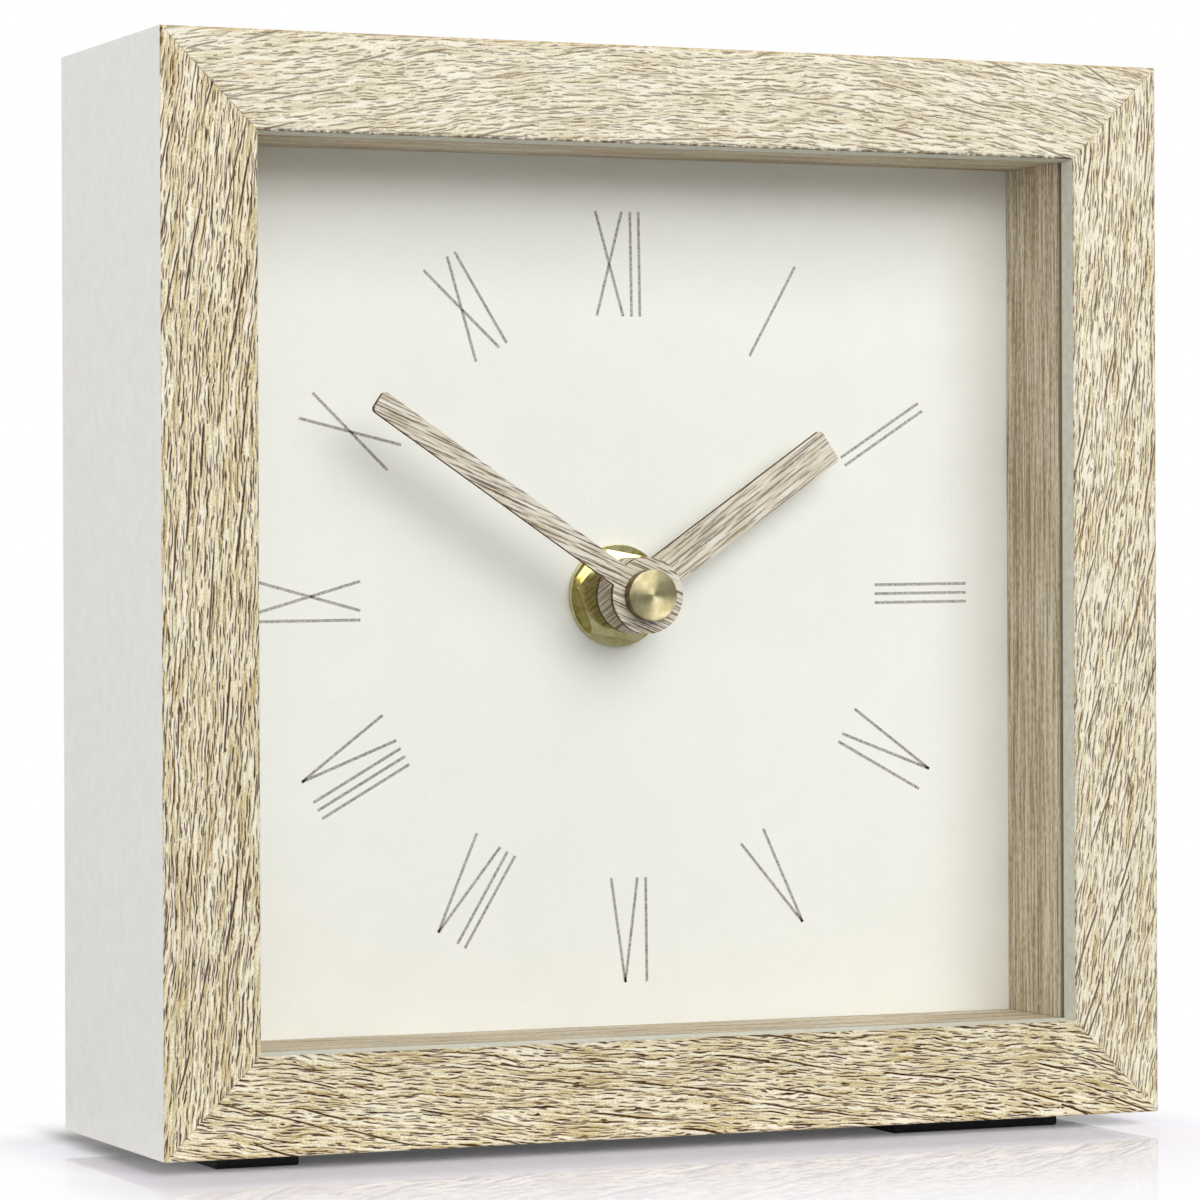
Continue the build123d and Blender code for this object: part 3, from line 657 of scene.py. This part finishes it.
base_low, base_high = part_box("movement_base")
cover_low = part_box("movement_cover")[0]
clip_heights = (0.0720, 0.0950)
clip_size = (0.0010, 0.0060, 0.0070)
clips = []
for side in (base_low.x, base_high.x):
    for height in clip_heights:
        clips.append(slab(Vector((side, cover_low.y, height)), clip_size))
moulded(join_all(clips), "cover_clips", width=0.3)


# Inside of the movement
# Acetal plate, bobbin and wheels, copper winding, plated stator and core, and a green circuit board with its
# chip and crystal. All are the CAD pieces, each with a finish for its material.
acetal = plain("acetal", "d8d2c0", "e8e4d6", grain=1.5, rough=0.4, depth=0.005)
dress(acetal, "middle_plate", "coil_bobbin", "rotor_arbor", "intermediate_wheel", "seconds_wheel")
dress(acetal, "third_wheel", "centre_wheel", "minute_wheel", "hour_wheel")
rolled = (1.0, 1.0, 0.2)
plated_steel = plain(
    "plated_steel", "a9a9a5", "cfcfca", grain=1.0, rough=0.28, metal=1.0, depth=0.005, stretch=rolled
)
dress(plated_steel, "crystal", "stator", "coil_core")
wound = (1.0, 0.05, 0.05)
copper_wire = plain("copper_wire", "8d3f17", "c8723a", grain=0.12, rough=0.3, metal=1.0, stretch=wound)
dress(copper_wire, "coil_winding")
dress(plain("sintered_magnet", "35353a", "55555b", grain=0.2, rough=0.5, metal=0.8), "rotor_magnet")
dress(plain("circuit_laminate", "12401f", "1d5a2f", grain=0.9, rough=0.35), "circuit_board")
dress(plain("black_epoxy", "0a0a0a", "161616", grain=1.2, rough=0.2, depth=0.02), "chip_cap")


# Battery contacts and battery
# Plated strip at each end of the bay, and an AA cell in a plain jacket with steel ends.
# The contacts and the cell are eased copies; the jacket's band marks the plus end.
for node in ("contact_plus", "contact_minus"):
    eased_copy(node, [plated_steel], width=0.05, segments=1)


def cell_jacket(name, left, right):
    """Printed film in slate grey with a pale band and a thin line at the plus end."""
    band_start = 0.76
    line_middle = 0.72
    line_half = 0.008
    finish, tree, shader, place = new_finish(name)
    axes = add_node(tree, "SeparateXYZ", {0: place}).outputs
    cloud = noise(tree, axes[0], axes[2], long=6, wide=2)
    share = calc(tree, "DIVIDE", calc(tree, "SUBTRACT", axes[0], left), right - left)
    band = calc(tree, "GREATER_THAN", share, band_start)
    line = calc(tree, "COMPARE", share, line_middle, line_half)
    colour = blend(tree, cloud, paint("3c4650"), paint("4a5661"))
    colour = blend(tree, calc(tree, "MAXIMUM", band, line), colour, paint("c4c8c8"))
    gloss = weigh(tree, 0.25, (cloud, 0.1))
    wear(tree, shader, colour, gloss, cloud, depth=0.01)
    return finish


plus_cap = 0.0012
jacket = cell_jacket("cell_jacket_film", bay_low.x * 1000, bay_high.x * 1000)
finishes = (jacket, plated_steel)
cell = eased_copy("battery", finishes, width=0.3, segments=3)
for face in cell.data.polygons:
    if abs(face.normal.x) > 0.8 or face.center.x > bay_high.x - plus_cap:
        face.material_index = finishes.index(plated_steel)


# Setting knob
# Fluted black plastic wheel pressed on the minute wheel's shaft, behind the cover.
# A copy of the CAD knob with the flutes' edges rounded.
eased_copy("setting_knob", [black_plastic], width=0.12)


# Flanged nut and minute arbor
# Polished brass: the nut holds the movement against the dial, the arbor carries the minute hand.
# The nut is an eased copy, so that its corners catch the light; the arbor is the CAD piece.
def polished_brass(name, rough, rings=None, tones=("c2b87c", "d0c892", "ddd6aa")):
    """Yellow brass with fine scratches, or with the fine rings of a turned face."""
    gloss_range = 0.04
    finish, tree, shader, place = new_finish(name, metal=1.0)
    axes = add_node(tree, "SeparateXYZ", {0: place}).outputs
    cloud = noise(tree, axes[0], axes[2], long=1.4, wide=1.4, detail=4.0)
    if rings:
        from_x = calc(tree, "SUBTRACT", axes[0], rings[0])
        from_z = calc(tree, "SUBTRACT", axes[2], rings[1])
        away = add_node(tree, "CombineXYZ", {0: from_x, 1: from_z})
        radius = add_node(tree, "VectorMath", {0: away.outputs[0]}, operation="LENGTH").outputs["Value"]
        height = noise(tree, radius, 0.0, long=0.09, wide=1.0)
        depth = 0.003
        shader.inputs["Anisotropic"].default_value = 1.0
        shader.inputs["Anisotropic Rotation"].default_value = 0.25
        round_axis = add_node(tree, "Tangent", direction_type="RADIAL", axis="Y").outputs[0]
        tree.links.new(round_axis, shader.inputs["Tangent"])
    else:
        height = noise(tree, axes[0], axes[2], long=3.0, wide=0.08)
        depth = 0.002
    dull, mid, bright = tones
    colour = ramp(tree, cloud, (0.3, dull), (0.5, mid), (0.7, bright))
    gloss = weigh(tree, rough - gloss_range / 2, (cloud, gloss_range))
    wear(tree, shader, colour, gloss, height, depth)
    return finish


eased_copy("flange_nut", [polished_brass("nut_brass", rough=0.13)], width=0.15)
dress(polished_brass("arbor_brass", rough=0.25), "minute_arbor")


# Hands
# Thin bars with round hubs, cut from pale veneered board; the grain runs a little askew on the minute hand.
# Copies of the CAD hands with eased edges; the cut edges are browner than the faces.
def veneer(name, middle, turn, skew, strength):
    """Pale veneer with thin brown lines, its grain along a hand that points a given way."""
    finish, tree, shader, place = new_finish(name, specular=0.25)
    way = (sin(radians(turn)), 0.0, cos(radians(turn)))
    flank = (cos(radians(turn)), 0.0, -sin(radians(turn)))
    from_shaft = {0: place, 1: (middle[0], 0.0, middle[1])}
    spot = add_node(tree, "VectorMath", from_shaft, operation="SUBTRACT").outputs[0]
    run = add_node(tree, "VectorMath", {0: spot, 1: way}, operation="DOT_PRODUCT").outputs["Value"]
    side = add_node(tree, "VectorMath", {0: spot, 1: flank}, operation="DOT_PRODUCT").outputs["Value"]
    side = weigh(tree, side, (run, tan(radians(skew))))
    patch = noise(tree, run, side, long=6, wide=1.0)
    thread = noise(tree, run, side, long=5, wide=0.2, detail=3.0)
    mean = weigh(tree, -0.05, (thread, 0.6), (patch, 0.5))
    colour = ramp(tree, mean, (0.36, "c5bba0"), (0.48, "dad2c0"), (0.58, "e3dcce"), (0.72, "efeae1"))
    beads = weigh(tree, 0.4, (noise(tree, run, side, long=0.8, wide=0.4, detail=1.0), 1.2))
    later = calc(tree, "ADD", run, 57.0)
    thin = dashes(tree, run, side, cell=(7.0, 0.42), size=(3.6, 0.12), spread=0.02, beads=beads)
    bold = dashes(tree, later, side, cell=(12.0, 0.9), size=(6.0, 0.15), spread=0.02, beads=beads)
    thin_lines = calc(tree, "MULTIPLY", thin[0], 0.7)
    bold_lines = calc(tree, "MULTIPLY", bold[0], 0.82)
    lines = calc(tree, "MULTIPLY", calc(tree, "MAXIMUM", thin_lines, bold_lines), strength)
    stain_and_shade = calc(tree, "MULTIPLY", calc(tree, "MAXIMUM", thin[2], bold[2]), 0.35)
    colour = blend(tree, stain_and_shade, colour, paint("b39d78"))
    colour = blend(tree, lines, colour, paint("4c3a2c"))
    gloss = weigh(tree, 0.6, (lines, 0.2))
    height = calc(tree, "SUBTRACT", calc(tree, "MULTIPLY", thread, 0.3), lines)
    wear(tree, shader, colour, gloss, height, depth=0.04)
    return finish


# The shaft's place across and up, in millimetres
shaft = (-1.2, 76.5)
# Name, turn and skew of the grain in degrees, strength of its lines
hand_cuts = (
    ("hour_hand", 55.3, 1.5, 0.76),
    ("minute_hand", 303.75, 11.0, 1.0),
)
cut_edge = plain("cut_edge", "4a3826", "6e573f", grain=0.6, rough=0.8, depth=0.03, specular=0.2)
for node, turn, skew, strength in hand_cuts:
    finishes = (veneer(node + "_veneer", shaft, turn, skew, strength), cut_edge)
    hand = eased_copy(node, finishes, width=0.07)
    for face in hand.data.polygons:
        if abs(face.normal.y) < 0.3:
            face.material_index = finishes.index(cut_edge)


# Cap nut
# Round brass nut on the end of the arbor, which holds the minute hand; its end face is turned.
# An eased copy of the CAD cap with a polished rim, whose darker brass is a painted reflection of the shaded
# hub.
cap_face = polished_brass("cap_face_brass", rough=0.42, rings=shaft, tones=("b0a57c", "c0b58d", "cec49f"))
# The rim's darker brass is a painted reflection of the shaded hub beside it
rim_painted_reflection = polished_brass("cap_side_brass", rough=0.3, tones=("5f5230", "77683e", "8c7c4c"))
finishes = (cap_face, rim_painted_reflection)
cap = eased_copy("cap_nut", finishes, width=0.2, segments=3)
for face in cap.data.polygons:
    if face.normal.y > -0.3:
        face.material_index = finishes.index(rim_painted_reflection)


# Studio
# White floor with a weak mirror, a softbox and a strip in front and above, fills from the left and behind,
# and a light at the top. The camera stands to the left of the dial's middle, as in the photo.
def past(tree, value, line):
    """How far a value lies past a line, or nothing."""
    return calc(tree, "MAXIMUM", calc(tree, "SUBTRACT", value, line), 0.0)


def fade(tree, value, start, end, first=0.0, last=1.0):
    """A smooth change from the first level to the last, while a value goes from the start to the end."""
    sockets = {"Value": value, "From Min": start, "From Max": end, "To Min": first, "To Max": last}
    return add_node(tree, "MapRange", sockets, interpolation_type="SMOOTHSTEP").outputs[0]


bpy.ops.mesh.primitive_plane_add(size=8, location=(0, 0, 0))
floor = bpy.context.object
floor.name = "studio_floor"
ground = bpy.data.materials.new("studio_ground")
ground.use_nodes = True
tree = ground.node_tree
tree.nodes.remove(tree.nodes["Principled BSDF"])
shown = add_node(tree, "LightPath").outputs["Is Camera Ray"]
spot = add_node(tree, "TexCoord").outputs["Object"]
sides = add_node(tree, "SeparateXYZ", {0: spot}).outputs
# The reach from the case over the floor grows faster to the sides, and most to the right and behind
side_rate = 4.5
far_rate = 5.0
past_x = past(tree, calc(tree, "ABSOLUTE", sides[0]), cad_high.x)
past_y = past(tree, calc(tree, "ABSOLUTE", sides[1]), cad_high.y)
far_side = calc(tree, "ADD", past(tree, sides[1], cad_high.y), past(tree, sides[0], cad_high.x))
wide_x = calc(tree, "MULTIPLY", past_x, side_rate)
wide_far = calc(tree, "MULTIPLY", far_side, far_rate)
offset = add_node(tree, "CombineXYZ", {0: wide_x, 1: past_y, 2: wide_far}).outputs[0]
reach = add_node(tree, "VectorMath", {0: offset}, operation="LENGTH").outputs["Value"]
away = fade(tree, reach, 0.0, 0.1)
# The light that the floor sends back to the case comes from close by
bounce_near = (0.95, 0.93, 0.94, 1)
bounce_far = (0.38, 0.38, 0.38, 1)
bounce = blend(tree, fade(tree, reach, 0.004, 0.022), bounce_near, bounce_far)
# The floor that shows through the gap under the left side is painted in shade
floor_light = (0.96, 0.925, 1, 1)
floor_shade = (0.3, 0.29, 0.31, 1)
from_left = fade(tree, sides[0], -0.077, -0.071)
to_right = fade(tree, sides[0], -0.02, 0.075, 1.0, 0.0)
from_front = fade(tree, sides[1], -0.008, 0.008)
to_back = fade(tree, sides[1], 0.024, 0.055, 1.0, 0.0)
shade = calc(tree, "MULTIPLY", from_left, to_right)
shade = calc(tree, "MULTIPLY", shade, calc(tree, "MULTIPLY", from_front, to_back))
front = blend(tree, shade, floor_light, floor_shade)
matt = add_node(tree, "BsdfDiffuse", {"Color": blend(tree, shown, bounce, front)})
mirror = add_node(tree, "BsdfGlossy", {"Color": (1, 1, 1, 1), "Roughness": 0.01})
mirror_share = 0.33
mirror_lost = 0.26
gleam = calc(tree, "MULTIPLY", shown, weigh(tree, mirror_share, (shade, -mirror_lost)))
near = add_node(tree, "MixShader", {0: gleam, 1: matt.outputs[0], 2: mirror.outputs[0]})
white = add_node(tree, "Emission", {"Color": (1, 1, 1, 1), "Strength": 1.0})
shade_depth = 0.95
# A little glow everywhere is painted light that lifts the floor's shade, the gap under the case too
least_glow = 0.07
open_floor = weigh(tree, away, (calc(tree, "MULTIPLY", away, shade), -shade_depth))
glow = calc(tree, "MULTIPLY", calc(tree, "MAXIMUM", open_floor, least_glow), shown)
whole = add_node(tree, "MixShader", {0: glow, 1: near.outputs[0], 2: white.outputs[0]}).outputs[0]
tree.links.new(whole, tree.nodes["Material Output"].inputs["Surface"])
floor.data.materials.append(ground)

world = bpy.data.worlds.new("studio_room")
bpy.context.scene.world = world
world.use_nodes = True
tree = world.node_tree
rays = add_node(tree, "LightPath").outputs
around = add_node(tree, "TexCoord").outputs["Generated"]
backward = add_node(tree, "SeparateXYZ", {0: around}).outputs[1]
backdrop = {"Value": backward, "From Min": 0.05, "From Max": 0.4, "To Min": 0.55, "To Max": 1.0}
backdrop_level = add_node(tree, "MapRange", backdrop).outputs[0]
room_light = 0.14
straight = calc(tree, "MAXIMUM", rays["Is Camera Ray"], rays["Is Transmission Ray"])
mirrored = calc(tree, "MULTIPLY", rays["Is Glossy Ray"], backdrop_level)
bare = calc(tree, "SUBTRACT", 1.0, calc(tree, "MAXIMUM", straight, rays["Is Glossy Ray"]))
level = weigh(tree, calc(tree, "MAXIMUM", straight, mirrored), (bare, room_light))
backing = tree.nodes["Background"]
backing.inputs["Color"].default_value = (1, 1, 1, 1)
tree.links.new(level, backing.inputs["Strength"])


def lamp(name, place, target, size, power):
    """A rectangular softbox aimed at a point."""
    aim = (Vector(place) - Vector(target)).to_track_quat("Z", "Y").to_euler()
    bpy.ops.object.light_add(type="AREA", location=place, rotation=aim)
    light = bpy.context.object
    light.name = name
    light.data.shape = "RECTANGLE"
    light.data.size = size[0]
    light.data.size_y = size[1]
    light.data.energy = power


lamp("key_softbox", place=(0.13, -0.9, 0.61), target=(0, 0, 0.077), size=(0.9, 0.68), power=6.85)
lamp("key_strip", place=(0.0, -0.95, 0.39), target=(0, 0, 0.077), size=(1.5, 0.32), power=3.1)
lamp("left_fill", place=(-1.0, 0.06, 0.08), target=(-0.07, 0, 0.077), size=(0.9, 0.5), power=8.5)
lamp("rear_fill", place=(0.35, 1.0, 0.45), target=(0, 0.02, 0.077), size=(0.9, 0.4), power=6.0)
lamp("top_light", place=(0.0, -0.05, 1.1), target=(0, 0, 0), size=(0.9, 0.9), power=3.4)

camera_place = Vector((-0.2794, -0.6403, 0.0778))
yaw = radians(23.37)
pitch = radians(-0.16)
roll = radians(-0.21)
ahead = Vector((sin(yaw) * cos(pitch), cos(yaw) * cos(pitch), sin(pitch)))
level_right = Vector((cos(yaw), -sin(yaw), 0))
level_up = level_right.cross(ahead)
right = cos(roll) * level_right + sin(roll) * level_up
up = cos(roll) * level_up - sin(roll) * level_right
turned = Matrix((right, up, -ahead)).transposed()
bpy.ops.object.camera_add(location=camera_place, rotation=turned.to_euler())
camera = bpy.context.object
camera.name = "photo_camera"
camera.data.sensor_width = 36.0
camera.data.lens = 147.78
camera.data.clip_start = 0.01
bpy.context.scene.camera = camera
bpy.context.scene.view_settings.view_transform = "Standard"
